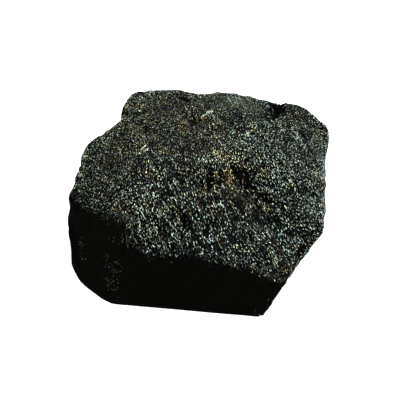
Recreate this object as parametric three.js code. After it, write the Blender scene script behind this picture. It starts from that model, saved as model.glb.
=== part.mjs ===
import * as THREE from "three";
import { ImprovedNoise } from "three/addons/math/ImprovedNoise.js";
import { mergeVertices } from "three/addons/utils/BufferGeometryUtils.js";

// A hand-sized lump of hard pitch, broken from a cast block: one solid piece, in
// millimetres, +Z up, standing on its flat cast base, with the origin under its middle.
// Two cleaved faces, front and front left, are smooth. Everything else is a coarse
// granular break with knolls, hollows and struck flats.

// --- Driving sizes ---------------------------------------------------------------
const crownHeight = 51.5; // height of the nearly level crown
const facetBlend = 2.5; // how softly the facets of the top run into each other
const gridAcross = 44; // mesh steps from side to side of the top
const gridUp = 16; // mesh steps from the base up to the rim
const softening = 3; // rounds of smoothing on the broken surfaces
const swell = 0.9; // how far the broken surfaces stand out again after smoothing
const scatter = 0.6; // shift of the mesh points, as a share of the way to the closest one
const curveTension = 0.35; // how tightly the outlines of the rim and the base turn
const reliefFade = { from: 0.2, to: 0.7 }; // how far up a surface faces, for the top's relief

// --- The broken top --------------------------------------------------------------
// Each facet of the top is a plane: its height at a point, and how fast it rises
// towards +X and +Y from there. The lowest facet at a place is the one that shows.
const topFacets = {
  crown: { at: [0, 0], height: crownHeight, rise: [0, 0.03] },
  frontSlope: { at: [0, -38], height: crownHeight - 23, rise: [-0.17, 0.6] },
  rightSlope: { at: [2, -0.5], height: crownHeight, rise: [-0.19, 0.19] },
  leftSlope: { at: [-35, 0], height: crownHeight - 0.5, rise: [0.42, 0] },
  frontLeftSlope: { at: [-58, -5], height: crownHeight - 17.5, rise: [0.57, 0.26] },
};

// Knolls and hollows on the top: centre, half lengths along and across, the turn of
// the long way from +X in degrees, and the height, which is negative for a hollow.
const topRelief = {
  rearKnob: { at: [44, 36], half: [6, 6], turn: 0, height: 1.8 },
  knobHollow: { at: [36, 33], half: [4.4, 3.8], turn: 40, height: -5 },
  sunnyKnoll: { at: [35, 4], half: [4.5, 7.5], turn: 8, height: 3.2 },
  farKnoll: { at: [42, 21], half: [7, 5], turn: 30, height: 1.8 },
  deepHollow: { at: [19.5, -7], half: [6.5, 4.4], turn: -30, height: -6.5 },
  valley: { at: [29, -18], half: [11, 4.8], turn: -46, height: -3.8 },
  hollowShoulder: { at: [23, 4], half: [4, 5], turn: 0, height: -2.2 },
  plateauEdge: { at: [8, 3], half: [14, 3.8], turn: 42, height: 2 },
  leftRib: { at: [-25, -21], half: [10, 3.8], turn: -66, height: 2.8 },
  ribGully: { at: [-13, -24], half: [9, 4], turn: -75, height: -2.2 },
  midRib: { at: [-4, -22], half: [8, 3.5], turn: -78, height: 1.6 },
  midGully: { at: [3, -25], half: [8, 3.4], turn: -80, height: -2 },
  brokenLip: { at: [-23, -38], half: [10, 8], turn: 0, height: -7 },
  cornerCrest: { at: [-35, -30], half: [4.5, 5.5], turn: 45, height: 4 },
  frontKnoll: { at: [26, -31], half: [5, 4.2], turn: 0, height: 2.4 },
  rightKnoll: { at: [45, -18], half: [6, 6], turn: 20, height: 2.2 },
  edgeGroove: { at: [49, 12], half: [2.8, 13], turn: 0, height: -1.8 },
  rearDip: { at: [0, 43], half: [4, 8], turn: 0, height: -1.8 },
  rearGully: { at: [-9, 31], half: [9, 4], turn: -50, height: -2 },
  leftDip: { at: [-25, 21], half: [8, 4.5], turn: -40, height: -1.8 },
  leftShoulder: { at: [-46, 10], half: [9, 8], turn: 20, height: 1.6 },
};

// --- The sides ------------------------------------------------------------------
// Stations round the lump, clockwise from the front right corner: where the rim of
// the top stands over the base, both in plan. A smooth face is named, and the other
// stretches are broken.
const stations = [
  { face: "front", rim: [37, -43], base: [27.5, -46.8] },
  { face: "front", rim: [18, -39.5], base: [12, -44] },
  { face: "front", rim: [0, -37.5], base: [-5, -42.5] },
  { face: "front", rim: [-18, -36], base: [-22, -41] },
  { face: "left", rim: [-32, -34], base: [-41, -38.5] },
  { face: "left", rim: [-35, -28], base: [-47.5, -34] },
  { face: "left", rim: [-48, -17.5], base: [-55.5, -26] },
  { rim: [-58, -5], base: [-60.8, -14] },
  { rim: [-56.5, 5.5], base: [-60, -3] },
  { rim: [-54, 16.5], base: [-55, 11] },
  { rim: [-44, 23.5], base: [-49, 22] },
  { rim: [-37, 30], base: [-43, 31] },
  { rim: [-36.5, 42], base: [-38, 42] },
  { rim: [-30.5, 49.5], base: [-29, 49] },
  { rim: [-11.5, 48.3], base: [-12, 50.5] },
  { rim: [3, 48], base: [4, 49] },
  { rim: [22, 45.5], base: [20, 48] },
  { rim: [38, 40.5], base: [34, 43.5] },
  { rim: [49.5, 38.5], base: [43, 38] },
  { rim: [60.5, 29], base: [49, 27] },
  { rim: [57, 8], base: [48, 8] },
  { rim: [55.5, -15], base: [40, -16] },
  { rim: [50.5, -26], base: [35, -29.5] },
];

// The front face is one plane through the two ends of its foot. It leans back by this
// much for each millimetre up.
const frontFoot = { left: [-41, -39.5], right: [28, -47] };
const frontLean = 0.18;

// Flats struck off the broken sides: a point on each flat and the way it faces.
const struckFlats = {
  rearUndercut: { at: [-8, 46, 0], facing: [0.1, 0.86, -0.5] },
  rearLeftFlat: { at: [-38, 47.5, 24], facing: [-0.62, 0.77, 0.12] },
  rearRightFlat: { at: [30, 44, 34], facing: [0.36, 0.88, -0.3] },
  rearBevel: { at: [-14, 49.5, 51], facing: [0.04, 0.7, 0.72] },
  rightUndercut: { at: [43, 12, 0], facing: [0.8, 0.22, -0.56] },
  rightFrontFlat: { at: [45.5, -24, 16], facing: [0.82, -0.45, -0.36] },
  rightBevel: { at: [57, 6, 41.5], facing: [0.86, -0.16, 0.5] },
  rearRightCorner: { at: [56.5, 36, 45], facing: [0.6, 0.66, 0.45] },
  leftUndercut: { at: [-53, 14, 0], facing: [-0.84, 0.22, -0.5] },
};

// Lumps and hollows on the broken sides: centre, radius and height.
const sideRelief = {
  leftHollow: { at: [-57, 12, 20], radius: 8, height: -2.8 },
  rearHollow: { at: [-16, 49, 28], radius: 11, height: -4 },
  rearRib: { at: [6, 48, 26], radius: 8, height: 2.8 },
  rearPocket: { at: [24, 46, 20], radius: 7, height: -3 },
  rightBoss: { at: [54, 22, 28], radius: 9, height: 2 },
  rightPocket: { at: [50, 0, 22], radius: 8, height: -3.4 },
};

// Waves of roughness on the broken surfaces: wavelength and height, coarse to fine.
const waveShift = 7.3; // keeps the waves from all passing through zero together
const roughness = [
  { wavelength: 22, height: 1.5 },
  { wavelength: 11, height: 1.2 },
  { wavelength: 5.5, height: 0.9 },
];

// --- Shape functions --------------------------------------------------------------
const noise = new ImprovedNoise();

// Height of the top's facets over a point in plan: the lowest one, softly blended.
function facetHeight(x, y) {
  const sum = Object.values(topFacets).reduce((total, { at, height, rise }) => {
    const facet = height + rise[0] * (x - at[0]) + rise[1] * (y - at[1]);
    return total + Math.exp(-facet / facetBlend);
  }, 0);
  return -facetBlend * Math.log(sum);
}

// Height of the top's knolls and hollows over a point in plan.
function topRise(point) {
  return Object.values(topRelief).reduce((total, { at, half, turn, height }) => {
    const angle = THREE.MathUtils.degToRad(turn);
    const [dx, dy] = [point.x - at[0], point.y - at[1]];
    const along = (dx * Math.cos(angle) + dy * Math.sin(angle)) / half[0];
    const across = (dy * Math.cos(angle) - dx * Math.sin(angle)) / half[1];
    return total + height * Math.exp(-(along * along + across * across));
  }, 0);
}

// Height of the sides' lumps and hollows at a point.
function sideRise(point) {
  return Object.values(sideRelief).reduce((total, { at, radius, height }) => {
    const away = point.distanceTo(new THREE.Vector3(...at)) / radius;
    return total + height * Math.exp(-away * away);
  }, 0);
}

// Height of the waves of roughness at a point.
function roughRise(point) {
  return roughness.reduce((total, { wavelength, height }, i) => {
    const place = point.clone().divideScalar(wavelength).addScalar(waveShift * (i + 1));
    return total + height * noise.noise(place.x, place.y, place.z);
  }, 0);
}

// A closed curve through the stations' rim or base points, one station a step.
function outline(which) {
  const points = stations.map((station) => new THREE.Vector3(...station[which], 0));
  return new THREE.CatmullRomCurve3(points, true, "catmullrom", curveTension);
}
const rimCurve = outline("rim");
const baseCurve = outline("base");

// Where a point of the box grid lies round its square section, from 0 to 1, clockwise
// from the front right corner, seen from above.
function roundTheSquare(x, y) {
  const side = Math.max(Math.abs(x), Math.abs(y)) || 1;
  const [u, v] = [x / side, y / side];
  if (v === -1) return (1 - u) / 8;
  if (u === -1) return (3 + v) / 8;
  if (v === 1) return (5 + u) / 8;
  return (7 - v) / 8;
}

// The face that a share of the way round the lump belongs to.
function faceAt(share) {
  const step = Math.floor(share * stations.length) % stations.length;
  return stations[step].face ?? "broken";
}

// Moves a point onto the plane of the front face, along Y.
function ontoFront(point) {
  const { left, right } = frontFoot;
  const share = (point.x - left[0]) / (right[0] - left[0]);
  point.y = left[1] + share * (right[1] - left[1]) + frontLean * point.z;
}

// A point of the unit box, -1 to 1 across and 0 to 1 up, laid on the lump.
function wrapPoint({ x, y, z }) {
  const reach = Math.max(Math.abs(x), Math.abs(y));
  const share = roundTheSquare(x, y);
  const rim = rimCurve.getPoint(share).multiplyScalar(reach);
  rim.setZ(facetHeight(rim.x, rim.y));
  if (reach < 1) return rim;
  const face = faceAt(share);
  if (face !== "broken") rim.z += topRise(rim) + roughRise(rim) + swell;
  const point = baseCurve.getPoint(share).lerp(rim, z);
  if (face === "front") ontoFront(point);
  return point;
}

// --- The solid --------------------------------------------------------------------
// The box grid wrapped onto the lump, with each vertex's part in the shape beside it:
// "base", "front", "left" or "broken". The box lists its underside last, and it's left
// off here.
function wrapBox() {
  const box = new THREE.BoxGeometry(2, 2, 1, gridAcross, gridAcross, gridUp);
  box.translate(0, 0, 0.5);
  box.setIndex([...box.getIndex().array.slice(0, box.groups[5].start)]);
  box.deleteAttribute("normal");
  box.deleteAttribute("uv");
  const lump = mergeVertices(box);
  const places = lump.getAttribute("position");
  const parts = [];
  for (let i = 0; i < places.count; i++) {
    const corner = new THREE.Vector3().fromBufferAttribute(places, i).toArray();
    const [x, y, z] = corner.map((v) => Number(v.toFixed(5)));
    const onSide = Math.max(Math.abs(x), Math.abs(y)) === 1;
    const side = onSide ? faceAt(roundTheSquare(x, y)) : "broken";
    parts.push(z === 0 ? "base" : side);
    places.setXYZ(i, ...wrapPoint({ x, y, z }));
  }
  return { lump, parts };
}

// Each vertex's neighbours, as sets of vertex numbers.
function neighbours(geometry) {
  const near = Array.from({ length: geometry.getAttribute("position").count }, () => new Set());
  const corners = geometry.getIndex().array;
  for (let i = 0; i < corners.length; i += 3) {
    const [a, b, c] = corners.slice(i, i + 3);
    near[a].add(b).add(c);
    near[b].add(a).add(c);
    near[c].add(a).add(b);
  }
  return near;
}

// Moves each vertex of the given parts to where the rule puts it.
function moveVertices({ lump, parts }, moving, rule) {
  const places = lump.getAttribute("position");
  const old = places.clone();
  parts.forEach((part, i) => {
    if (!moving.includes(part)) return;
    places.setXYZ(i, ...rule(new THREE.Vector3().fromBufferAttribute(old, i), i, old));
  });
}

// Rounds the broken surfaces: each vertex moves halfway to its neighbours' middle.
function soften(grid) {
  const near = neighbours(grid.lump);
  for (let round = 0; round < softening; round++) {
    moveVertices(grid, ["broken"], (point, i, old) => {
      const middle = new THREE.Vector3();
      near[i].forEach((j) => middle.add(new THREE.Vector3().fromBufferAttribute(old, j)));
      return point.lerp(middle.divideScalar(near[i].size), 0.5);
    });
  }
}

// Strikes the flats: whatever stands proud of a flat's plane is pressed back onto it,
// along the plane's normal, or level with the table for the base.
function strikeFlats(grid) {
  for (const { at, facing } of Object.values(struckFlats)) {
    const outward = new THREE.Vector3(...facing).normalize();
    const flat = new THREE.Plane().setFromNormalAndCoplanarPoint(outward, new THREE.Vector3(...at));
    const level = outward.clone().setZ(0);
    moveVertices(grid, ["broken", "base"], (point) => {
      const proud = Math.max(flat.distanceToPoint(point), 0);
      const path = point.z === 0 ? level.clone().divideScalar(level.lengthSq()) : outward;
      return point.addScaledVector(path, -proud);
    });
  }
}

// Raises the relief and the roughness along the surface's own normals. The smooth faces
// and the base stay flat. The top's relief fades out where the surface turns down.
function roughen(grid) {
  grid.lump.computeVertexNormals();
  const normals = grid.lump.getAttribute("normal");
  moveVertices(grid, ["broken"], (point, i) => {
    const normal = new THREE.Vector3().fromBufferAttribute(normals, i);
    const upward = THREE.MathUtils.smoothstep(normal.z, reliefFade.from, reliefFade.to);
    const rise = upward * topRise(point) + sideRise(point) + roughRise(point) + swell;
    return point.addScaledVector(normal, rise);
  });
}

// Shifts the mesh points of the broken surfaces about, by noise too fine to follow, so
// that the facets come out uneven.
function scatterPoints(grid) {
  const near = neighbours(grid.lump);
  const random = (point, seed) => noise.noise(point.x + seed, point.y, point.z + 0.5);
  moveVertices(grid, ["broken"], (point, i, old) => {
    const gaps = [...near[i]].map((j) => {
      return point.distanceTo(new THREE.Vector3().fromBufferAttribute(old, j));
    });
    const shift = new THREE.Vector3(random(point, 0.3), random(point, 40.3), random(point, 80.3));
    return point.addScaledVector(shift, scatter * Math.min(...gaps));
  });
}

// Splits each square of the grid along its shorter diagonal, so that ridges and
// gullies don't come out as saw teeth. The box lists each square as two triangles,
// a b d and b c d.
function turnDiagonals({ lump }) {
  const places = lump.getAttribute("position");
  const place = (i) => new THREE.Vector3().fromBufferAttribute(places, i);
  const corners = lump.getIndex().array;
  for (let i = 0; i < corners.length; i += 6) {
    const [a, b, d, , c] = corners.slice(i, i + 6);
    if (place(a).distanceTo(place(c)) < place(b).distanceTo(place(d))) {
      corners.set([a, b, c, a, c, d], i);
    }
  }
}

// Closes the underside with a fan of triangles from its middle to the foot of the sides:
// every edge of the open mesh that only one triangle uses.
function closeBase({ lump }) {
  const corners = [...lump.getIndex().array];
  const edges = new Map();
  for (let i = 0; i < corners.length; i += 3) {
    const [a, b, c] = corners.slice(i, i + 3);
    for (const [from, to] of [[a, b], [b, c], [c, a]]) {
      if (!edges.delete(`${to} ${from}`)) edges.set(`${from} ${to}`, [from, to]);
    }
  }
  const places = lump.getAttribute("position");
  const middle = places.count;
  const closed = new THREE.BufferGeometry();
  closed.setAttribute("position", new THREE.Float32BufferAttribute([...places.array, 0, 0, 0], 3));
  edges.forEach(([from, to]) => corners.push(to, from, middle));
  return closed.setIndex(corners);
}

// The finished lump, standing over the origin by the middle of its plan.
function makeLump() {
  const grid = wrapBox();
  soften(grid);
  strikeFlats(grid);
  roughen(grid);
  scatterPoints(grid);
  turnDiagonals(grid);
  const closed = closeBase(grid);
  closed.computeBoundingBox();
  const middle = closed.boundingBox.getCenter(new THREE.Vector3());
  return closed.translate(-middle.x, -middle.y, 0);
}

const pitch = new THREE.MeshStandardMaterial({
  color: 0x1c1d1a,
  roughness: 0.55,
  metalness: 0,
  flatShading: true,
});
const lump = new THREE.Mesh(makeLump(), pitch);
lump.name = "pitch_lump";

const model = new THREE.Group();
model.add(lump);
export default model;
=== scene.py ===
"""A lump of hard pitch, broken from a cast slab: granular on its broken top and sides, and
glassy on the two faces where it cleaved. Blender 4.5, in metres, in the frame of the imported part."""

import math
import random

import bmesh
import bpy
import numpy as np
from mathutils import Matrix, Vector, kdtree, noise


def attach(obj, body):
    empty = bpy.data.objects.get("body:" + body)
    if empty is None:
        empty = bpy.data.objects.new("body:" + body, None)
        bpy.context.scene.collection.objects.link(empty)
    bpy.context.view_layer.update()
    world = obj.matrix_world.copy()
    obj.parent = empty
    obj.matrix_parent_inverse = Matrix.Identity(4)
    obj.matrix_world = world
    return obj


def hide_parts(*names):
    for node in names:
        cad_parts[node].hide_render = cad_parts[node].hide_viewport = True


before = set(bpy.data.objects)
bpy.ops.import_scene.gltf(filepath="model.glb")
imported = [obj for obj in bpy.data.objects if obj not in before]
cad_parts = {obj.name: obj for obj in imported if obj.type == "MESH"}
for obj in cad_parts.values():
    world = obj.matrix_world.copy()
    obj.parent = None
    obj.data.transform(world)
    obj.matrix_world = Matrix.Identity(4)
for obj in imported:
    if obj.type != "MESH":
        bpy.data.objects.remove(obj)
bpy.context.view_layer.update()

MM = 0.001

# ---- The lump ----
# One piece of hard pitch, a black brittle glass left when tar is distilled. It was cast as a slab and
# broken with a hammer: most of it burst along its grit and is granular, and two faces split clean.
CLEAVED_SEED = Vector((0, -45, 12)) * MM  # a point on the clean front face
FLAT_ENOUGH = math.radians(10)  # neighbouring facets of a clean face turn less than this
BASE_HEIGHT = 0.05 * MM  # what lies lower is on the flat base
DOUBLES = 0.01 * MM  # corners closer than this are one corner
CUTS_PER_EDGE = 3  # facets of about 0.65 mm, fine enough for single grains of grit
SMOOTHINGS = 14  # of the broken faces, before they get their relief
SMOOTHING_STEP = 0.5  # how far a point goes each time towards the middle of its neighbours

# Where the lump is fuller, or leaner, than its plain solid, in millimetres: the place, how far
# round it that reaches, and how much it stands out.
FULLNESS = {
    "right side": (56, -13, 31, 8, 1.4),
    "under the right side": (45.8, -34.4, 25.4, 6.4, -5.2),
    "left corner": (-60, -11, 18, 10, 1.3),
    "left side": (-55.5, 4, 38, 4, -0.9),
    "left edge": (-56, -4, 35, 4, 1.1),
    "left rim": (-58.5, -10, 29, 3.5, -1.1),
    "under the left notch": (-36.8, 26.8, 49.4, 2.4, 1.7),
    "left ledge": (-44.5, 17.4, 46.6, 3, 1.0),
    "middle of the right side": (56, 4, 42, 4.5, 1.2),
    "left shoulder": (-50, 14, 43, 6.5, 1.5),
    "left notch": (-36.8, 33, 49.5, 5, -5.0),
    "back left corner": (-34, 41, 47, 7, 1.2),
    "back edge": (-18, 45, 50, 8, 0.6),
    "back by the knob": (35, 39, 49, 7, 1.0),
    "right shoulder": (56, 29, 44, 6, 0.5),
    "low on the right side": (55.5, -17, 34, 3.5, -1.1),
    "front right corner": (53.8, -24, 31.5, 4, 1.6),
    "right bulge": (59, 14, 40, 7, -1.5),
    "front right foot": (28, -49, 0, 6, 0.2),
    "front foot": (8, -47, 0, 18, 0.2),
}
# The clean face wraps round the left corner up to here, in millimetres. Its edge slants, so that
# lower down it wraps less far, and it waves.
LEFT_WRAP = Vector((-54.5, -3, 29.5)) * MM
WRAP_SLANT = 0.13
WRAP_WAVE = {"width": 5.0, "reach": 1.5}
# Left of the first x the clean faces start to be worn round, and left of the second they are
# fully worn.
WORN_FROM = -20 * MM
WORN_FULLY = -32 * MM
WORN_ROUNDS = 14
# A tongue of grit hangs below their rim here, and reaches so far round it, in millimetres.
TONGUE = Vector((-31.0, -37.0, 36.2))
TONGUE_REACH = 3.0

# The granular relief, in millimetres: how wide each kind of lump is, and how far it stands up or
# sinks in.
RELIEF = {
    "knobs": {"width": 4.6, "rise": 0.20},
    "clods": {"width": 2.3, "rise": 0.22},
    "grit": {"width": 1.15, "rise": 0.16},
}
RELIEF_SHIFT = Vector((17, 5, 9))  # so that no two kinds follow the same pattern
# Ribs that the tear left on the front slope. They run this way, down to the right, and are drawn
# out along it: 0 would be not at all, and 1 without end.
TEAR_WAY = Vector((0.38, -0.62, -0.68)).normalized()
RIBS = {"width": 2.2, "drawn_out": 0.67, "rise": 0.7}
# The last blow tore open the faces that look this way, and they kept all their grit. Those that
# look across it kept half, and those that rubbed against other lumps a little less.
TORN_SIDE = Vector((0, -0.7, 0.7))
KEPT_ACROSS = 0.5
KEPT_AT_LEAST = 0.4
SWELL = 0.3  # what the smoothing takes off, put back
RIM_BITE = {"width": 2.2, "reach": 0.6}  # how the grit eats into the top of the clean faces
RIM_FADE = 1.6  # how far from the rim the relief has its full rise

# Slits and hollows where clods fell out, in millimetres: x, y, half length, half width,
# the turn of the length from +X in degrees, and the depth.
HOLLOWS = {
    "main hollow": (19.4, -4.0, 5.6, 2.5, -10, 2.1),
    "bottom of the hollow": (21.6, -5.6, 3.2, 1.8, -25, 2.0),
    "top of the hollow": (14.8, -2.4, 1.6, 1.7, 0, 1.0),
    "nick above it": (20.6, 1.8, 2.4, 1.1, 55, 0.8),
    "tail of the hollow": (24.4, -8.6, 4.2, 1.2, -48, 1.1),
    "second tail": (21.0, -9.4, 2.8, 0.7, -50, 0.8),
    "lower hollow": (30.0, -14.2, 4.2, 1.5, -40, 1.3),
    "under the lower hollow": (26.2, -16.2, 2.6, 1.0, -35, 0.8),
    "nick beside the hollow": (31.8, -9.4, 1.7, 1.3, 20, 0.7),
    "nick under the hollow": (17.6, -11.4, 1.8, 0.8, 0, 0.7),
    "second nick under it": (18.2, -16.2, 1.9, 0.9, -30, 0.7),
    "gap under the knob": (36.4, 34.0, 5.2, 3.2, 48, 2.8),
    "foot of the gap": (33.4, 28.4, 3.0, 2.4, 50, 2.8),
    "pit by the knob": (31.5, 25.4, 1.7, 1.2, 20, 0.9),
    "pit right of the knob": (40.8, 21.8, 1.0, 1.9, 0, 0.9),
    "pit at the right corner": (56.4, 25.2, 1.8, 1.4, 0, 2.0),
    "right crack": (48.2, 18.4, 2.6, 0.8, -50, 0.8),
    "upright slit": (4.2, -9.8, 4.6, 2.1, 84, 2.8),
    "slit beside it": (1.2, -12.4, 2.2, 1.0, 65, 1.5),
    "slit right of it": (8.6, -11.2, 2.8, 1.1, 86, 1.6),
    "left slit": (-7.6, -12.0, 2.6, 1.0, 80, 0.8),
    "front slit": (-6.4, -27.6, 2.6, 1.3, 80, 1.2),
    "long front slit": (2.9, -29.4, 3.8, 1.6, 84, 1.8),
    "left front slit": (-15.8, -31.0, 2.6, 1.2, 88, 1.2),
    "back slit": (-7.6, 37.4, 3.0, 1.0, -26, 1.3),
    "back pit": (-15.9, 30.2, 1.0, 1.4, 0, 0.8),
    "crown pit": (-3.1, 23.4, 2.8, 2.0, -10, 1.1),
    "left dimple": (-24.6, 17.2, 3.0, 2.2, -25, 0.5),
    "left pit": (-35.0, 10.2, 1.1, 0.9, 0, 0.7),
    "left corner pits": (-34.2, 22.4, 1.8, 1.2, -60, 0.6),
    "right dimple": (24.4, 16.4, 1.6, 1.2, 10, 0.7),
}
# Their edges are ragged, by this share of their size.
RAGGED = {
    "coarse": {"width": 1.7, "reach": 0.225},
    "fine": {"width": 0.8, "reach": 0.25},
}
HOLLOW_SLOPE = 0.6  # 0.5 would be a round bowl, and 1 one with gentler sides
SEARCHED = 2  # how many half lengths off a hollow is still looked for

lump_mesh = bmesh.new()
lump_mesh.from_mesh(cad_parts["pitch_lump"].data)
bmesh.ops.remove_doubles(lump_mesh, verts=lump_mesh.verts, dist=DOUBLES)
lump_mesh.faces.ensure_lookup_table()

CLEAVED, BASE, BROKEN = 0, 1, 2


def spread_over(first, flat_enough):
    """The faces joined to the first one by edges that hardly bend."""
    found = {first}
    edge_of_patch = [first]
    while edge_of_patch:
        face = edge_of_patch.pop()
        for edge in face.edges:
            for other in edge.link_faces:
                if other not in found and edge.calc_face_angle(math.pi) < flat_enough:
                    found.add(other)
                    edge_of_patch.append(other)
    return found


def soft_noise(place, width, shift=Vector()):
    """A soft number, about -1 to 1, that changes over that width in millimetres."""
    return 2 * noise.noise(place / (width * MM) + shift)


nearest_face = min(lump_mesh.faces, key=lambda f: (f.calc_center_median() - CLEAVED_SEED).length)
clean_faces = spread_over(nearest_face, FLAT_ENOUGH)
for face in lump_mesh.faces:
    on_base = all(v.co.z < BASE_HEIGHT for v in face.verts)
    middle = face.calc_center_median()
    below = LEFT_WRAP.z - middle.z
    wave = soft_noise(middle, WRAP_WAVE["width"]) * WRAP_WAVE["reach"] * MM
    wraps = middle.x < LEFT_WRAP.x and below > 0 and middle.y < LEFT_WRAP.y - WRAP_SLANT * below + wave
    clean = face in clean_faces or wraps
    face.material_index = BASE if on_base else CLEAVED if clean else BROKEN

bmesh.ops.subdivide_edges(
    lump_mesh, edges=lump_mesh.edges[:], cuts=CUTS_PER_EDGE, use_grid_fill=True
)
bmesh.ops.triangulate(lump_mesh, faces=lump_mesh.faces[:])

lump_mesh.normal_update()
for vertex in lump_mesh.verts:
    push = 0.0
    for x, y, z, reach, out in FULLNESS.values():
        off = vertex.co / MM - Vector((x, y, z))
        push += out * math.exp(-off.length_squared / reach**2)
    on_floor = vertex.co.z < BASE_HEIGHT
    vertex.co += vertex.normal * push * MM
    if on_floor:
        vertex.co.z = 0

for face in lump_mesh.faces:
    on_tongue = (face.calc_center_median() / MM - TONGUE).length < TONGUE_REACH
    if on_tongue and face.material_index == CLEAVED:
        face.material_index = BROKEN


def touches(vertex, kind):
    return any(face.material_index == kind for face in vertex.link_faces)


def tree_of(places):
    """The places as a tree, which finds those that are near a point."""
    tree = kdtree.KDTree(len(places))
    for index, place in enumerate(places):
        tree.insert(place, index)
    tree.balance()
    return tree


rim_corners = [v for v in lump_mesh.verts if touches(v, CLEAVED) and touches(v, BROKEN)]
rim = tree_of([v.co for v in rim_corners])

# To wear the left end of the clean faces round, each point moves towards the middle of its
# neighbours, those of the foot only along their own outline, and those of the rim not at all.
foot_edges = [e for e in lump_mesh.edges if {f.material_index for f in e.link_faces} == {BASE, CLEAVED}]
foot = {v for e in foot_edges for v in e.verts}
wall_edges = [e for e in lump_mesh.edges if all(f.material_index == CLEAVED for f in e.link_faces)]
fixed = set(rim_corners)
neighbours = {}
for edges, movable in ((foot_edges, foot), (wall_edges, None)):
    for edge in edges:
        for here, there in (edge.verts, reversed(edge.verts)):
            may_move = here in movable if movable else here not in foot
            if may_move and here not in fixed and here.co.x < WORN_FROM:
                neighbours.setdefault(here, []).append(there)
for _ in range(WORN_ROUNDS):
    moved = {}
    for vertex, others in neighbours.items():
        share = min(1, (WORN_FROM - vertex.co.x) / (WORN_FROM - WORN_FULLY))
        average = sum((other.co for other in others), Vector()) / len(others)
        moved[vertex] = vertex.co.lerp(average, SMOOTHING_STEP * share)
    for vertex, spot in moved.items():
        vertex.co = spot

# The grit bites into the clean faces by a ragged amount, so the rim isn't a drawn line.
for face in lump_mesh.faces:
    if face.material_index == CLEAVED:
        middle = face.calc_center_median()
        bite = max(0, soft_noise(middle, RIM_BITE["width"])) * RIM_BITE["reach"] * MM
        if rim.find(middle)[2] < bite:
            face.material_index = BROKEN

free = [v for v in lump_mesh.verts if not touches(v, CLEAVED) and not touches(v, BASE)]
for _ in range(SMOOTHINGS):
    bmesh.ops.smooth_vert(
        lump_mesh, verts=free, factor=SMOOTHING_STEP,
        use_axis_x=True, use_axis_y=True, use_axis_z=True,
    )


def depth_in_hollows(place):
    """How deep the slits and hollows are at this place, in millimetres."""
    ragged = 1.0
    for edge in RAGGED.values():
        ragged += edge["reach"] * soft_noise(place, edge["width"])
    deepest = 0.0
    for x, y, half_length, half_width, turn, depth in HOLLOWS.values():
        off_x = place.x / MM - x
        off_y = place.y / MM - y
        if off_x**2 + off_y**2 < (SEARCHED * half_length) ** 2:
            turned = Vector((off_x, off_y))
            turned.rotate(Matrix.Rotation(-math.radians(turn), 2))
            distance = math.hypot(turned.x / half_length, turned.y / half_width) / ragged
            deepest = max(deepest, depth * max(0.0, 1 - distance**2) ** HOLLOW_SLOPE)
    return deepest


def left_unrubbed(facing):
    """How much of its grit a face that looks this way kept, from 0 to 1."""
    return min(1, max(KEPT_AT_LEAST, KEPT_ACROSS + facing.dot(TORN_SIDE)))


def rise_of_relief(place, facing):
    """How far the granular relief stands up at this place, in millimetres."""
    rise = 0.0
    for order, kind in enumerate(RELIEF.values()):
        rise += kind["rise"] * soft_noise(place, kind["width"], RELIEF_SHIFT * order)
    along_tear = TEAR_WAY * place.dot(TEAR_WAY) * RIBS["drawn_out"]
    rib = soft_noise(place - along_tear, RIBS["width"])
    rise += RIBS["rise"] * rib * max(0.0, -facing.y)
    return rise * left_unrubbed(facing)


lump_mesh.normal_update()
moves = []
for vertex in free:
    rise = SWELL + rise_of_relief(vertex.co, vertex.normal)
    if vertex.normal.z > 0:
        rise -= depth_in_hollows(vertex.co)
    rise *= min(1, rim.find(vertex.co)[2] / (RIM_FADE * MM))
    moves.append(vertex.normal * rise * MM)
for vertex, move in zip(free, moves):
    vertex.co += move
    vertex.co.z = max(vertex.co.z, 0)

lump_mesh.normal_update()
for face in lump_mesh.faces:
    face.smooth = face.material_index == CLEAVED


def finished_piece(name, shape, materials):
    """A bmesh, or lists of corners, edges and faces, made a piece of that name at the origin."""
    mesh = bpy.data.meshes.new(name)
    if isinstance(shape, bmesh.types.BMesh):
        shape.to_mesh(mesh)
        shape.free()
    else:
        mesh.from_pydata(*shape)
    for material in materials:
        mesh.materials.append(material)
    piece = bpy.data.objects.new(name, mesh)
    bpy.context.scene.collection.objects.link(piece)
    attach(piece, "root")
    return piece


def linear(colour):
    """An sRGB hex colour as the linear colour that a shader takes."""
    parts = [int(colour[i:i + 2], 16) / 255 for i in (1, 3, 5)]
    return [p / 12.92 if p <= 0.04045 else ((p + 0.055) / 1.055) ** 2.4 for p in parts] + [1.0]


def add_node(tree, kind, inputs=(), **settings):
    """Adds a node, gives it its settings, and sets or links its inputs."""
    node = tree.nodes.new("ShaderNode" + kind)
    for name, value in settings.items():
        setattr(node, name, value)
    for socket, value in dict(inputs).items():
        if isinstance(value, bpy.types.NodeSocket):
            tree.links.new(value, node.inputs[socket])
        else:
            node.inputs[socket].default_value = value
    return node


def new_material(name):
    """An empty material, its node tree, and the coordinates of the piece itself."""
    material = bpy.data.materials.new(name)
    material.use_nodes = True
    tree = material.node_tree
    tree.nodes.clear()
    place = add_node(tree, "TexCoord").outputs["Object"]
    return material, tree, place


def close_material(tree, surface):
    output = add_node(tree, "OutputMaterial")
    tree.links.new(surface.outputs["BSDF"], output.inputs["Surface"])


PITCH_IOR = 1.6

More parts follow.
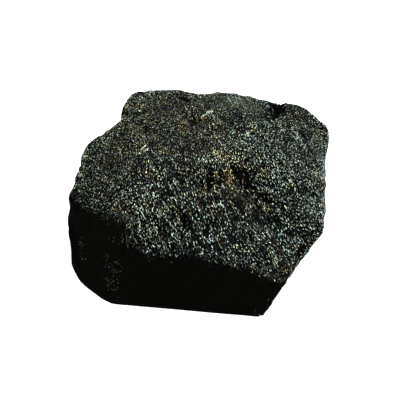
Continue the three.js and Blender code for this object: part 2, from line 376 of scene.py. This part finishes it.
# Cleaved pitch: split like glass, so it is smooth and black. Its bloom of oil and faint ripples
# only show where light glances off it. Here and below, widths, rises and depths are in millimetres.
BLOOM_WIDTH = 22
WEAR_WIDTH = 3
FRESH_ROUGHNESS = 0.26
WORN_ROUGHNESS = 0.42
RIPPLES = {"width": 7, "rise": 0.3}
cleaved_pitch, tree, place = new_material("cleaved_pitch")
bloom = add_node(tree, "TexNoise", {"Vector": place, "Scale": 1 / (BLOOM_WIDTH * MM), "Detail": 3})
black = add_node(tree, "ValToRGB", {"Fac": bloom.outputs["Fac"]})
black.color_ramp.elements[0].color = linear("#080805")
black.color_ramp.elements[1].color = linear("#0d0c08")
wear = add_node(tree, "TexNoise", {"Vector": place, "Scale": 1 / (WEAR_WIDTH * MM), "Detail": 4})
sheen = add_node(
    tree, "MapRange",
    {"Value": wear.outputs["Fac"], "To Min": FRESH_ROUGHNESS, "To Max": WORN_ROUGHNESS},
)
ripple = add_node(
    tree, "TexNoise",
    {"Vector": place, "Scale": 1 / (RIPPLES["width"] * MM), "Detail": 2, "Distortion": 0.6},
)
rippled = add_node(
    tree, "Bump",
    {"Height": ripple.outputs["Fac"], "Strength": 0.25, "Distance": RIPPLES["rise"] * MM},
)
surface = add_node(
    tree,
    "BsdfPrincipled",
    {
        "Base Color": black.outputs["Color"],
        "Roughness": sheen.outputs["Result"],
        "Normal": rippled.outputs["Normal"],
        "IOR": PITCH_IOR,
        "Specular IOR Level": 0.35,
    },
)
close_material(tree, surface)

# Cast skin: the underside cooled against an iron tray, so it is flat, dull and a little brown.
TRAY_MARK_WIDTH = 9
PINHOLES = {"width": 1.5, "depth": 0.2}
cast_skin, tree, place = new_material("cast_skin")
tray_mark = add_node(
    tree, "TexNoise", {"Vector": place, "Scale": 1 / (TRAY_MARK_WIDTH * MM), "Detail": 5}
)
brown = add_node(tree, "ValToRGB", {"Fac": tray_mark.outputs["Fac"]})
brown.color_ramp.elements[0].color = linear("#12110e")
brown.color_ramp.elements[1].color = linear("#23201a")
pinholes = add_node(tree, "TexVoronoi", {"Vector": place, "Scale": 1 / (PINHOLES["width"] * MM)})
dimpled = add_node(
    tree, "Bump",
    {"Height": pinholes.outputs["Distance"], "Strength": 0.3, "Distance": PINHOLES["depth"] * MM},
)
surface = add_node(
    tree,
    "BsdfPrincipled",
    {
        "Base Color": brown.outputs["Color"],
        "Roughness": 0.62,
        "Normal": dimpled.outputs["Normal"],
        "IOR": PITCH_IOR,
    },
)
close_material(tree, surface)

# Broken pitch: what lies between the grains. It is torn and full of pores, so it is dull and nearly
# black, with a trace of grey-green dust.
DUST_GRAIN = 0.9
PORES = {"width": 0.45, "depth": 0.12}
broken_pitch, tree, place = new_material("broken_pitch")
dust = add_node(tree, "TexNoise", {"Vector": place, "Scale": 1 / (DUST_GRAIN * MM), "Detail": 2})
ground = add_node(tree, "ValToRGB", {"Fac": dust.outputs["Fac"]})
ground.color_ramp.elements[0].position = 0.40
ground.color_ramp.elements[1].position = 0.72
ground.color_ramp.elements[0].color = linear("#020202")
ground.color_ramp.elements[1].color = linear("#0b0c0a")
pores = add_node(
    tree, "TexNoise", {"Vector": place, "Scale": 1 / (PORES["width"] * MM), "Detail": 2}
)
rough = add_node(
    tree, "Bump",
    {"Height": pores.outputs["Fac"], "Strength": 0.5, "Distance": PORES["depth"] * MM},
)
surface = add_node(
    tree,
    "BsdfPrincipled",
    {
        "Base Color": ground.outputs["Color"],
        "Roughness": 0.5,
        "Normal": rough.outputs["Normal"],
        "IOR": PITCH_IOR,
        "Specular IOR Level": 0.01,
    },
)
close_material(tree, surface)

# Where the grains go is read off the faces before the mesh is handed over. A few crumbs stuck to
# the clean faces too: under the rim, and in faint flecks on the left, whose x, y, z and reach in
# millimetres, and share of grains that stayed, are these.
UNDER_RIM = {"reach": 0.9, "share": 0.6}
FLECKS = {
    "by the rim": (-53.5, -22.5, 17.7, 2.2, 0.25),
    "left": (-53.0, -24.0, 13.0, 2.4, 0.2),
    "red": (-38.4, -34.6, 33.0, 2.2, 0.4),
    "under the red": (-42.2, -33.4, 22.0, 1.8, 0.3),
    "middle": (-38.6, -37.6, 19.0, 2.8, 0.4),
    "right of the middle": (-35.0, -38.6, 22.5, 2.0, 0.3),
    "lower": (-39.6, -39.4, 9.8, 3.0, 0.3),
    "lowest": (-37.0, -41.0, 5.0, 2.4, 0.2),
}


def crumbs_at(place):
    """The share of grains that stuck to a clean face at this place."""
    under_rim = UNDER_RIM["share"] * math.exp(-rim.find(place)[2] / (UNDER_RIM["reach"] * MM))
    flecks = [
        share * math.exp(-((place / MM - Vector((x, y, z))).length / reach) ** 2)
        for x, y, z, reach, share in FLECKS.values()
    ]
    return max(under_rim, *flecks)


LEAST_SHARE = 0.01  # a face where fewer grains stuck holds none
grain_seats = []
seat_shares = []
for face in lump_mesh.faces:
    stuck = 1.0
    if face.material_index == CLEAVED:
        stuck = crumbs_at(face.calc_center_median())
    if face.material_index != BASE and stuck > LEAST_SHARE:
        grain_seats.append([v.co[:] for v in face.verts])
        seat_shares.append(stuck)
grain_seats = np.array(grain_seats)
seat_shares = np.array(seat_shares)

lump = finished_piece("lump", lump_mesh, [cleaved_pitch, cast_skin, broken_pitch])
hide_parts("pitch_lump")

# ---- The grains ----
# Angular chips of pitch, about a millimetre long, that stayed stuck in the broken faces. Most are
# black glass, dulled by grey-green dust, some are painted pale as glints, and a few carry rust or
# ochre from the ground.
GRAIN_KINDS = 12
CORNERS_PER_GRAIN = 7
CORNERS_OFF = 0.4, 0.55  # how far from the middle they are, where the grain is 1 across
SITES = 380000  # how many places are tried
SPACING = 0.345  # no two grains stand closer than this, in millimetres
FLOOR_GAP = 0.9  # and none stands lower than this
FEW_GRAINS_BELOW = 0.45  # deeper than this in a hollow, most grains fell out
FALLEN_SHARE = 0.9

draw = random.Random(41)
dice = np.random.default_rng(41)


def chip():
    """One convex chip as its corners and three-cornered faces, about 1 across."""
    shape = bmesh.new()
    for _ in range(CORNERS_PER_GRAIN):
        way = Vector([draw.gauss(0, 1) for _ in range(3)]).normalized()
        shape.verts.new(way * draw.uniform(*CORNERS_OFF))
    hull = bmesh.ops.convex_hull(shape, input=shape.verts[:])
    bmesh.ops.delete(shape, geom=list({*hull["geom_interior"], *hull["geom_unused"]}), context="VERTS")
    bmesh.ops.recalc_face_normals(shape, faces=shape.faces[:])
    bmesh.ops.triangulate(shape, faces=shape.faces[:])
    shape.verts.index_update()
    corners = np.array([v.co[:] for v in shape.verts])
    faces = np.array([[v.index for v in f.verts] for f in shape.faces])
    shape.free()
    return corners, faces


chips = [chip() for _ in range(GRAIN_KINDS)]

edge_a = grain_seats[:, 1] - grain_seats[:, 0]
edge_b = grain_seats[:, 2] - grain_seats[:, 0]
across = np.cross(edge_a, edge_b)
double_area = np.linalg.norm(across, axis=1)
picked = dice.choice(len(grain_seats), SITES, p=double_area / double_area.sum())
share = dice.random((SITES, 2))
folded = share.sum(1) > 1
share[folded] = 1 - share[folded]
sites = grain_seats[picked, 0] + share[:, :1] * edge_a[picked] + share[:, 1:] * edge_b[picked]
ups = across[picked] / double_area[picked, None]
shares_stuck = seat_shares[picked]

site_tree = tree_of(sites)
open_sites = np.ones(SITES, bool)
kept = []
depths = []
for index in range(SITES):
    if open_sites[index]:
        place = Vector(sites[index])
        depth = depth_in_hollows(place) if ups[index, 2] > 0 else 0.0
        fell_out = depth > FEW_GRAINS_BELOW and draw.random() < FALLEN_SHARE
        stuck = shares_stuck[index] == 1 or draw.random() < shares_stuck[index]
        if place.z > FLOOR_GAP * MM and stuck and not fell_out:
            kept.append(index)
            depths.append(depth)
        for _, near, _ in site_tree.find_range(place, SPACING * MM):
            open_sites[near] = False
sites, ups, depths = sites[kept], ups[kept], np.array(depths)
loose = shares_stuck[kept] < 1  # a crumb on a clean face
count = len(sites)
unrubbed = np.array([left_unrubbed(Vector(up)) for up in ups])


def nearness(x, y, reach):
    """For each grain, 1 at that spot of the lump, in millimetres, fading to 0 about two reaches off."""
    off = (sites[:, 0] / MM - x) ** 2 + (sites[:, 1] / MM - y) ** 2
    return np.exp(-off / reach**2)


def sum_of(places):
    """For each grain, what those places add up to: their x, y and reach, and how much at each."""
    return sum(much * nearness(x, y, reach) for x, y, reach, much in places.values())


def each_noise(spots, width, shift=Vector()):
    """For each of those spots, a soft number that changes over that width in millimetres."""
    return np.array([soft_noise(Vector(spot), width, shift) for spot in spots])


def patches(layers):
    """For each grain, soft patches: each layer's width, place among the patterns, and strength."""
    return sum(much * each_noise(sites, width, PATCH_SHIFT * order) for width, order, much in layers)


# Grains lie along the way the slab tore: down to the right on the front slope, forward on the
# crown, slantwise at its left corner, and every way elsewhere. For each place these are x, y and
# reach in millimetres, the way, and how strictly they keep to it.
STRAY = 0.6
TILT = 0.3
LAYS = {
    "front slope": (-14, -24, 34, TEAR_WAY, 3.6),
    "right of the slope": (30, -22, 24, (0.36, -0.5, -0.79), 3.2),
    "right edge": (54, -5, 14, (0.25, -0.5, -0.8), 2.4),
    "crown": (-4, 8, 34, (0.33, -1.0, 0.0), 2.4),
    "left corner of the crown": (-24, 22, 10, (0.55, 0.8, 0.1), 3.0),
}
along_way = dice.normal(0, STRAY, (count, 3))
for x, y, reach, way, strictness in LAYS.values():
    along_way += strictness * nearness(x, y, reach)[:, None] * np.array(way)

# Single long splinters, and knots of bright ones, painted pale as highlights: x and y of both ends in
# millimetres, how far round that they reach, and how much paler than their neighbours the painted
# highlight makes them. Here and below that is a power of e: 0.7 is twice as pale.
SPLINTERS = {
    "long splinter on the crown": (1.2, 25.6, 5.6, 28.6, 0.45, 1.0),
    "splinter on the left": (-26.0, 5.2, -23.6, 7.8, 0.25, 0.5),
    "another beside it": (-24.8, 3.2, -23.4, 4.4, 0.25, 0.4),
    "speck on the right": (40.2, -6.9, 40.8, -6.4, 0.35, 1.3),
    "another on the right": (44.4, -6.6, 44.8, -6.2, 0.35, 0.9),
    "speck by the right dimple": (21.8, 16.2, 22.6, 16.9, 0.5, 0.9),
    "speck on the front slope": (-5.4, -32.2, -4.8, -31.4, 0.5, 0.9),
    "speck at the left rim": (-22.9, -38.2, -22.3, -37.6, 0.35, 0.7),
    "speck at the middle rim": (-0.2, -40.0, 1.0, -39.6, 0.35, 0.7),
    "speck at the right rim": (22.6, -42.0, 23.6, -41.6, 0.35, 0.8),
}
splinter_highlight = np.zeros(count)
for from_x, from_y, to_x, to_y, reach, highlight in SPLINTERS.values():
    start = np.array((from_x, from_y))
    way = np.array((to_x, to_y)) - start
    off = sites[:, :2] / MM - start
    run = np.clip(off @ way / (way @ way), 0, 1)
    on_it = np.linalg.norm(off - run[:, None] * way, axis=1) < reach
    splinter_highlight[on_it] = highlight
    along_way[on_it] = np.append(way, 0)


def unit(arrows):
    return arrows / np.linalg.norm(arrows, axis=1)[:, None]


upright = unit(ups + dice.normal(0, TILT, (count, 3)))
along = unit(along_way - (along_way * upright).sum(1)[:, None] * upright)
grain_axes = along, np.cross(upright, along), upright

# How a grain is coated, or painted to glint: how pale that makes it, and by which power of e that
# varies. Bare grains are stubby and sit deep, and the glinting ones are slivers that stand up, whose
# pale tone is a painted glint in place of light off their facets. Sizes in millimetres.
COATS_AND_GLINTS = {
    "bare black": {"tone": 0.01, "spread": 0.3, "length": 0.7, "width": 0.45, "lift": -0.08},
    "dusted": {"tone": 0.4, "spread": 0.7, "length": 0.7, "width": 0.34, "lift": -0.06},
    "glinting": {"tone": 4.0, "spread": 0.55, "length": 1.3, "width": 0.24, "lift": 0.08},
}
BARE, DUSTED, GLINTING = 0, 1, 2
DUSTED_SHARE = 0.25  # of those that don't glint
# A glinting sliver keeps the next one this far off, across it and along it. Each gap is up to that
# share wider or narrower, and the gaps are that many times wider where the slab tore.
GLINT_GAP = {"across": 0.6, "along": 1.1}
UNEVEN_GAPS = 0.5
TORN_GAP = 1.2
# Where it tore: x, y and reach in millimetres, and how much.
TORN_PLACES = {
    "left of the front slope": (-12, -28, 26, 1),
    "right of the front slope": (30, -28, 22, 1),
}
torn = np.minimum(1, sum_of(TORN_PLACES))

grain_tree = tree_of(sites)
coat_or_glint = np.where(dice.random(count) < DUSTED_SHARE, DUSTED, BARE)
may_glint = np.ones(count, bool)
for index in dice.permutation(count):
    if may_glint[index]:
        coat_or_glint[index] = GLINTING
        ways = [Vector(axis[index]) for axis in grain_axes[:2]]
        widened = (1 + (TORN_GAP - 1) * torn[index]) * (1 + dice.uniform(-1, 1) * UNEVEN_GAPS)
        gap_along, gap_across = (GLINT_GAP[way] * widened * MM for way in ("along", "across"))
        for place, near, _ in grain_tree.find_range(sites[index], gap_along):
            off = place - Vector(sites[index])
            if math.hypot(off.dot(ways[0]) / gap_along, off.dot(ways[1]) / gap_across) < 1:
                may_glint[near] = False
coat_or_glint[splinter_highlight > 0] = GLINTING


def by_coat_or_glint(quantity):
    """For each grain, that quantity of its coat or of its painted glint."""
    return np.array([c[quantity] for c in COATS_AND_GLINTS.values()])[coat_or_glint]


# Where the grains are paler or darker: x, y and reach in millimetres, and how much paler it makes
# them. Part of it is dust that lies thicker or was rubbed off, and part is painted light and shade of
# the slopes, such as the painted shade in and under the hollow and round the knob.
DUST_LIGHT_AND_SHADE_PLACES = {
    "left rib": (-21, -28, 7, 1.0),
    "top of the left slope": (-19, -20, 9, 0.5),
    "pale ridge": (13, 0, 8, 1.1),
    "over the hollow": (22, 11, 7, 0.3),
    "beside the hollow": (33, -4, 7, 1.25),
    "right of the hollow": (38, -13, 6, 0.5),
    "lower right shoulder": (48, -28, 8, 0.9),
    "right rim": (29, -38, 6, 0.75),
    "middle of the slope": (2, -23, 8, 0.6),
    "under the long slit": (11, -32, 5, 1.0),
    "low band": (23, -24, 9, -0.9),
    "left of the slits": (-9, -15, 6, -0.5),
    "under the hollow": (16, -13, 5, -1.25),
    "left shoulder": (-35, -4, 10, -0.6),
    "left corner of the crown": (-43, 20, 8, -0.5),
    "middle of the crown": (-8, 10, 12, -0.8),
    "back of the crown": (-18, 34, 10, -0.5),
    "behind the right flank": (42, 7, 7, -0.8),
    "before the knob": (38, 26, 6, -0.75),
    "knob": (43, 33, 5, -0.75),
    "back edge": (18, 41, 9, 0.6),
    "right corner": (56, 21, 7, 0.5),
    "right edge": (57, 0, 8, 1.1),
    "lower right edge": (56, -17, 8, 0.75),
    "seam by the right edge": (49.5, 8, 3.5, -0.6),
    "seam further down": (49, -2, 3.5, -0.6),
    "notch in the rim": (-33.4, -34.2, 1.7, -3.0),
    "in the hollow": (19, -4, 3, -1.0),
}
# Soft patches of it everywhere: the width in millimetres, which pattern, and how much.
DUST_PATCHES = (6, 0, 0.25), (2.5, 1, 0.1)
PATCH_SHIFT = Vector((7, 3, 5))  # from one pattern to the next
# Where it lies evenly over the grains: x, y and reach in millimetres, and how much their tones
# draw together to the even one.
CALM_PLACES = {
    "left crown": (-28, 26, 24, 0.4),
    "left shoulder": (-42, -4, 13, 0.4),
    "back of the crown": (14, 36, 13, 0.75),
    "by the gap": (28, 33, 7, 0.5),
    "right corner": (53, 22, 7, 0.6),
    "right edge": (56.5, 9, 5.5, 0.9),
    "middle of the right edge": (56.5, -3, 5.5, 0.8),
    "lower right edge": (56.5, -14, 5.5, 0.8),
}
RUBBED_CALM = 0.9  # where a face was rubbed, for the share of its grit that is gone
MOST_CALM = 0.92
EVEN_LOG_TONE = math.log(0.8)
RELIEF_LIGHT_AND_SHADE = 0.9  # painted light and shade: paler by this power of e for each millimetre that stands up, darker where it sinks
HOLLOW_SHADE = 2.6  # painted shade: darker by this power of e for each millimetre of depth in a hollow
# Painted shade of the furrows of the tear: their width in millimetres, how far drawn out they are,
# from what noise on it is a furrow, and how much darker each 1 past that is. The ground between them
# is painted a little paler.
FURROW_SHADE = {"width": 1.9, "drawn_out": 0.6, "from": 0.12, "dark": 3.8, "paler_between": 0.25}
# The grains beside the clean faces are darker: how far from their rim, in millimetres, and how much
# darker that is.
RIM_DARKENING = {"reach": 5.0, "dark": 1.5}
# A crumb on a clean face keeps that share of its power of e, and is darker.
CRUMB_KEEPS = 0.5
CRUMB_DARK = 1.2

# Each grain's tone: its coat or painted glint, dust by place, painted light and shade of the relief,
# painted shade in the hollows and furrows, and darker by the rim of the clean faces.
log_tones = np.log(by_coat_or_glint("tone")) + dice.normal(0, 1, count) * by_coat_or_glint("spread")
calm = np.minimum(sum_of(CALM_PLACES) + RUBBED_CALM * (1 - unrubbed), MOST_CALM)
log_tones = EVEN_LOG_TONE + (log_tones - EVEN_LOG_TONE) * (1 - calm)
relief = np.array([rise_of_relief(Vector(site), Vector(up)) for site, up in zip(sites, ups)])
log_tones += sum_of(DUST_LIGHT_AND_SHADE_PLACES) + RELIEF_LIGHT_AND_SHADE * relief - HOLLOW_SHADE * depths + splinter_highlight
log_tones += patches(DUST_PATCHES)
to_rim = np.array([rim.find(Vector(site))[2] for site in sites]) / MM
log_tones -= RIM_DARKENING["dark"] * np.exp(-(to_rim / RIM_DARKENING["reach"]) ** 2)
along_tear = (sites @ np.array(TEAR_WAY))[:, None] * np.array(TEAR_WAY) * FURROW_SHADE["drawn_out"]
in_furrow = np.maximum(0, each_noise(sites - along_tear, FURROW_SHADE["width"]) - FURROW_SHADE["from"])
log_tones += torn * (FURROW_SHADE["paler_between"] - FURROW_SHADE["dark"] * in_furrow)
log_tones[loose] = log_tones[loose] * CRUMB_KEEPS - CRUMB_DARK
tones = np.exp(log_tones)

# The dust goes from teal grey through sage to straw and ochre. It does so in patches, from grain to
# grain, and by place, as above.
HUES = {-2.0: "#66777b", -0.8: "#667670", 0.0: "#6b7569", 1.0: "#75765a", 2.2: "#7c6a4c"}
HUE_PATCHES = (3.2, 2, 0.7), (1.3, 3, 0.3)
HUE_SPREAD = 0.45
HUE_PLACES = {
    "left crown": (-28, 26, 24, 0.5),
    "middle of the crown": (-3, 17, 11, 0.4),
    "right flank": (40, 3, 18, -0.3),
    "round the hollow": (16, -8, 12, 0.5),
    "over the front rim": (0, -37, 12, -0.6),
    "lower right": (35, -30, 14, -0.5),
    "right tip": (34, -44, 7, 0.7),
}
hue = patches(HUE_PATCHES) + dice.normal(0, HUE_SPREAD, count)
hue += sum_of(HUE_PLACES)
hue_colours = np.array([linear(colour)[:3] for colour in HUES.values()])
tints = np.stack([np.interp(hue, list(HUES), hue_colours[:, part]) for part in range(3)], axis=1)

# Rust, ochre and clay picked up from the ground: x, y and reach in millimetres, the colour, and
# the share of grains that took it.
STAINS = {
    "left rust": (-39.5, 0.6, 3.9, "#6c4538", 0.65),
    "middle rust": (-3.2, 5.0, 4.0, "#784a3a", 0.65),
    "ochre by the crown pit": (-8.2, 23.0, 2.2, "#9a7a3a", 0.5),
    "rust under it": (-7.0, 17.0, 2.6, "#8a6040", 0.35),
    "ochre right of the pit": (2.6, 22.4, 3.2, "#94773c", 0.5),
    "rust behind the ridge": (3.0, 14.0, 3.0, "#85583c", 0.35),
    "ochre speck": (10.6, 14.6, 1.6, "#9a6c34", 0.6),
    "yellow of the ridge": (10.6, 1.2, 3.2, "#8f8040", 0.6),
    "ochre under the slit": (3.2, -14.4, 2.0, "#94803c", 0.6),
    "orange by the hollow": (12.6, -8.6, 3.0, "#8f7038", 0.68),
    "golden speck": (20.7, -1.3, 1.0, "#a8742c", 0.6),
    "pink by the slit": (0.4, -8.0, 1.0, "#95705c", 0.6),
    "red under the hollow": (20.0, -9.8, 2.2, "#8d5840", 0.5),
    "red over the lower hollow": (23.6, -15.6, 3.0, "#7c5844", 0.35),
    "red left": (-35.7, -13.8, 2.2, "#7d5340", 0.3),
    "knob red": (37.0, 36.4, 1.2, "#8a5638", 0.5),
    "red by the pit": (40.8, 18.6, 0.9, "#8a5638", 0.6),
    "orange specks at the rim": (-35.8, -22.8, 2.2, "#9c7440", 0.6),
    "golden speck at the rim": (36.6, -40.6, 2.0, "#8c8248", 0.6),
    "golden knot": (27.8, -34.6, 1.2, "#8c8248", 0.5),
    "right speck": (43.3, -15.3, 1.0, "#8a6a3a", 0.7),
}
STAIN_EDGE = 0.15  # no grain takes it where the nearness is less
STAIN_FADE = 0.5  # a stain is nearly as dense halfway out as in the middle
STAIN_SHARE = 0.6  # the rest of a stained grain keeps its own colour
STAIN_DIMS = 0.7
CRUMB_COLOUR = "#77706c"  # clay, and a crumb is halfway between it and the dust
PALEST = 0.9
for x, y, reach, colour, share_taken in STAINS.values():
    near = nearness(x, y, reach)
    took = (dice.random(count) < share_taken * near**STAIN_FADE) & (near > STAIN_EDGE)
    tints[took] = tints[took] * (1 - STAIN_SHARE) + np.array(linear(colour)[:3]) * STAIN_SHARE
    tones[took] *= STAIN_DIMS
tints[loose] = (tints[loose] + np.array(linear(CRUMB_COLOUR)[:3])) / 2
tints *= tones[:, None]
tints *= np.minimum(1, PALEST / tints.max(axis=1))[:, None]

# How a grain's length and width vary, beside those of its coat, and its height and lift, in
# millimetres.
LENGTHS = 0.55, 1.5
WIDTHS = 0.8, 1.2
HEIGHTS = 0.3, 0.55
LIFTS = -0.08, 0.08
LONGER_WHERE_TORN = 0.5
WIDER_WHERE_CALM = 0.9  # because dust fills the gaps between the grains
CRUMB_LENGTH = 0.7
lengths = by_coat_or_glint("length") * dice.uniform(*LENGTHS, count) * (1 + LONGER_WHERE_TORN * torn) * MM
lengths[loose] *= CRUMB_LENGTH
widths = by_coat_or_glint("width") * dice.uniform(*WIDTHS, count) * (1 + WIDER_WHERE_CALM * calm**2) * MM
heights = dice.uniform(*HEIGHTS, count) * unrubbed * MM
kinds = dice.integers(0, GRAIN_KINDS, count)
lifts = (by_coat_or_glint("lift") + dice.uniform(*LIFTS, count)) * MM

# Dusted pitch: black glass under grey-green dust, each grain with its own tone, and the pale tones
# of the glinting grains are painted glints, so the broken faces sparkle. The tones also carry painted
# light and shade of the relief, the hollows and the furrows. The dust on a grain is specked, least so
# where it is calm, and the specks are drawn out along the fine ridges of the tear.
GRAIN_ROUGHNESS = 0.34
SPECK_WIDTH = 0.32
SPECK_FROM, SPECK_TO = 0.35, 0.65
SPECK_CONTRAST = 0.9
STREAK_WAY = Vector((0.39, -0.85, -0.35))
STREAKS_DRAWN_OUT = 0.75
grain_pitch, tree, place = new_material("pitch_grains_dust_and_painted_light")
own = add_node(tree, "Attribute", attribute_name="tint")
run = add_node(tree, "VectorMath", {0: place, 1: STREAK_WAY}, operation="DOT_PRODUCT")
along_streaks = add_node(
    tree, "VectorMath", {0: STREAK_WAY, "Scale": run.outputs["Value"]}, operation="SCALE"
)
drawn_out = add_node(
    tree, "VectorMath", {0: along_streaks.outputs["Vector"], 1: (-STREAKS_DRAWN_OUT,) * 3, 2: place},
    operation="MULTIPLY_ADD",
)
speck = add_node(
    tree, "TexNoise",
    {"Vector": drawn_out.outputs["Vector"], "Scale": 1 / (SPECK_WIDTH * MM), "Detail": 2},
)
spotted = add_node(
    tree, "MapRange",
    {
        "Value": speck.outputs["Fac"],
        "From Min": SPECK_FROM,
        "From Max": SPECK_TO,
        "To Min": -SPECK_CONTRAST,
        "To Max": SPECK_CONTRAST,
    },
)
uneven = add_node(tree, "Attribute", attribute_name="unevenness")
patchy = add_node(
    tree, "Math", {0: spotted.outputs["Result"], 1: uneven.outputs["Fac"], 2: 1.0},
    operation="MULTIPLY_ADD",
)
dusted = add_node(
    tree, "VectorMath", {0: own.outputs["Vector"], 1: patchy.outputs["Value"]},
    operation="MULTIPLY",
)
surface = add_node(
    tree,
    "BsdfPrincipled",
    {
        "Base Color": dusted.outputs["Vector"],
        "Roughness": GRAIN_ROUGHNESS,
        "IOR": PITCH_IOR,
        "Specular IOR Level": 0.008,
    },
)
close_material(tree, surface)


def grain_piece(name, chosen):
    """The chosen grains as one joined mesh."""
    corner_lists, face_lists, grains = [], [], []
    first = 0
    for kind, (corners, faces) in enumerate(chips):
        which = np.flatnonzero(chosen & (kinds == kind))
        along, beside, upright = (axis[which, None, :] for axis in grain_axes)
        placed = (
            sites[which, None, :]
            + corners[None, :, :1] * lengths[which, None, None] * along
            + corners[None, :, 1:2] * widths[which, None, None] * beside
            + (corners[None, :, 2:] * heights[which, None, None] + lifts[which, None, None]) * upright
        )
        offsets = first + np.arange(len(which))[:, None, None] * len(corners)
        corner_lists.append(placed.reshape(-1, 3))
        face_lists.append((faces[None] + offsets).reshape(-1, 3))
        grains.append(np.repeat(which, len(corners)))
        first += len(which) * len(corners)
    corners = np.concatenate(corner_lists)
    faces = np.concatenate(face_lists)
    grains = np.concatenate(grains)
    piece = finished_piece(name, (corners.tolist(), [], faces.tolist()), [grain_pitch])
    # Each grain's tint: its dust colour and tone, with the painted glints and painted shade in it.
    layer = piece.data.attributes.new("tint", "FLOAT_VECTOR", "POINT")
    layer.data.foreach_set("vector", tints[grains].astype(np.float32).ravel())
    layer = piece.data.attributes.new("unevenness", "FLOAT", "POINT")
    layer.data.foreach_set("value", (1 - calm[grains]).astype(np.float32))


# The grains are joined into eight pieces by where they are, in millimetres. Those of the crown
# look up by at least so much, out of 1.
CROWN_LOOKS_UP = 0.6
CROWN_ABOVE = 38
FRONT_BEFORE = -10
BACK_BEHIND = 20
to_left = sites[:, 0] < 0
on_crown = (ups[:, 2] > CROWN_LOOKS_UP) & (sites[:, 2] / MM > CROWN_ABOVE)
on_front = ~on_crown & (sites[:, 1] < FRONT_BEFORE * MM) & (ups[:, 1] < 0)
on_back = ~on_crown & ~on_front & (sites[:, 1] > BACK_BEHIND * MM)
on_sides = ~on_crown & ~on_front & ~on_back
for name, where in (
    ("crown_grains", on_crown),
    ("front_slope_grains", on_front),
    ("side_grains", on_sides),
    ("back_grains", on_back),
):
    grain_piece(name + "_left", where & to_left)
    grain_piece(name + "_right", where & ~to_left)

# ---- The studio ----
# A white sweep under soft light from above and behind, so the broken top is lit, while its sparkle
# is painted glints in the grains' tones, and the clean faces, which look at the dark room in front,
# stay black.
FLOOR_RADIUS = 8  # in metres, so that no view sees its edge
PAPER_GLOW = 0.45
floor_shape = bmesh.new()
bmesh.ops.create_circle(floor_shape, cap_ends=True, segments=96, radius=FLOOR_RADIUS)
floor_mesh = bpy.data.meshes.new("floor")
floor_shape.to_mesh(floor_mesh)
floor_shape.free()
floor = bpy.data.objects.new("floor", floor_mesh)
bpy.context.scene.collection.objects.link(floor)
floor.visible_diffuse = False
floor.visible_glossy = False

# Matt white paper. It has a little light of its own, so that it looks plain white without a gleam.
white_paper, tree, _ = new_material("white_paper")
surface = add_node(
    tree,
    "BsdfPrincipled",
    {
        "Base Color": linear("#f4f4f4"),
        "Roughness": 0.9,
        "Specular IOR Level": 0.0,
        "Emission Color": linear("#ffffff"),
        "Emission Strength": PAPER_GLOW,
    },
)
close_material(tree, surface)
floor_mesh.materials.append(white_paper)

# One broad lamp overhead, which stands behind the lump and to its right. Its tilts, and its width
# as the lump sees it, are in degrees.
LAMP_TILT_BACK = 22
LAMP_TILT_RIGHT = 28
LAMP_WIDTH = 65
LAMP_STRENGTH = 9.0
lamp_data = bpy.data.lights.new("overhead_softbox", "SUN")
lamp_data.angle = math.radians(LAMP_WIDTH)
lamp_data.energy = LAMP_STRENGTH
lamp = bpy.data.objects.new("overhead_softbox", lamp_data)
lamp.rotation_euler = (-math.radians(LAMP_TILT_BACK), math.radians(LAMP_TILT_RIGHT), 0)
bpy.context.scene.collection.objects.link(lamp)

# The room is dark below the horizon and bright above it, by how high a way looks, out of 1.
SKY_LIGHT = 0.7
DARK_BELOW = -0.05
BRIGHT_ABOVE = 0.15
room = bpy.data.worlds.new("room")
bpy.context.scene.world = room
room.use_nodes = True
tree = room.node_tree
tree.nodes.clear()
way = add_node(tree, "TexCoord").outputs["Generated"]
height_of_way = add_node(tree, "SeparateXYZ", {0: way}).outputs["Z"]
upper_half = add_node(
    tree, "MapRange",
    {
        "Value": height_of_way,
        "From Min": DARK_BELOW,
        "From Max": BRIGHT_ABOVE,
        "To Min": 0.0,
        "To Max": SKY_LIGHT,
    },
)
air = add_node(
    tree, "Background", {"Color": linear("#ffffff"), "Strength": upper_half.outputs["Result"]}
)
output = add_node(tree, "OutputWorld")
tree.links.new(air.outputs["Background"], output.inputs["Surface"])
bpy.context.scene.view_settings.view_transform = "Standard"

CAMERA_TARGET = Vector((0.078, -2.843, 27.0)) * MM
CAMERA_DISTANCE = 461.5 * MM
CAMERA_ELEVATION = math.radians(45)
camera_data = bpy.data.cameras.new("camera")
camera_data.lens = 90
camera_data.sensor_width = 36
camera = bpy.data.objects.new("camera", camera_data)
back = Vector((0, -math.cos(CAMERA_ELEVATION), math.sin(CAMERA_ELEVATION)))
camera.location = CAMERA_TARGET + back * CAMERA_DISTANCE
camera.rotation_euler = (math.pi / 2 - CAMERA_ELEVATION, 0, 0)
bpy.context.scene.collection.objects.link(camera)
bpy.context.scene.camera = camera
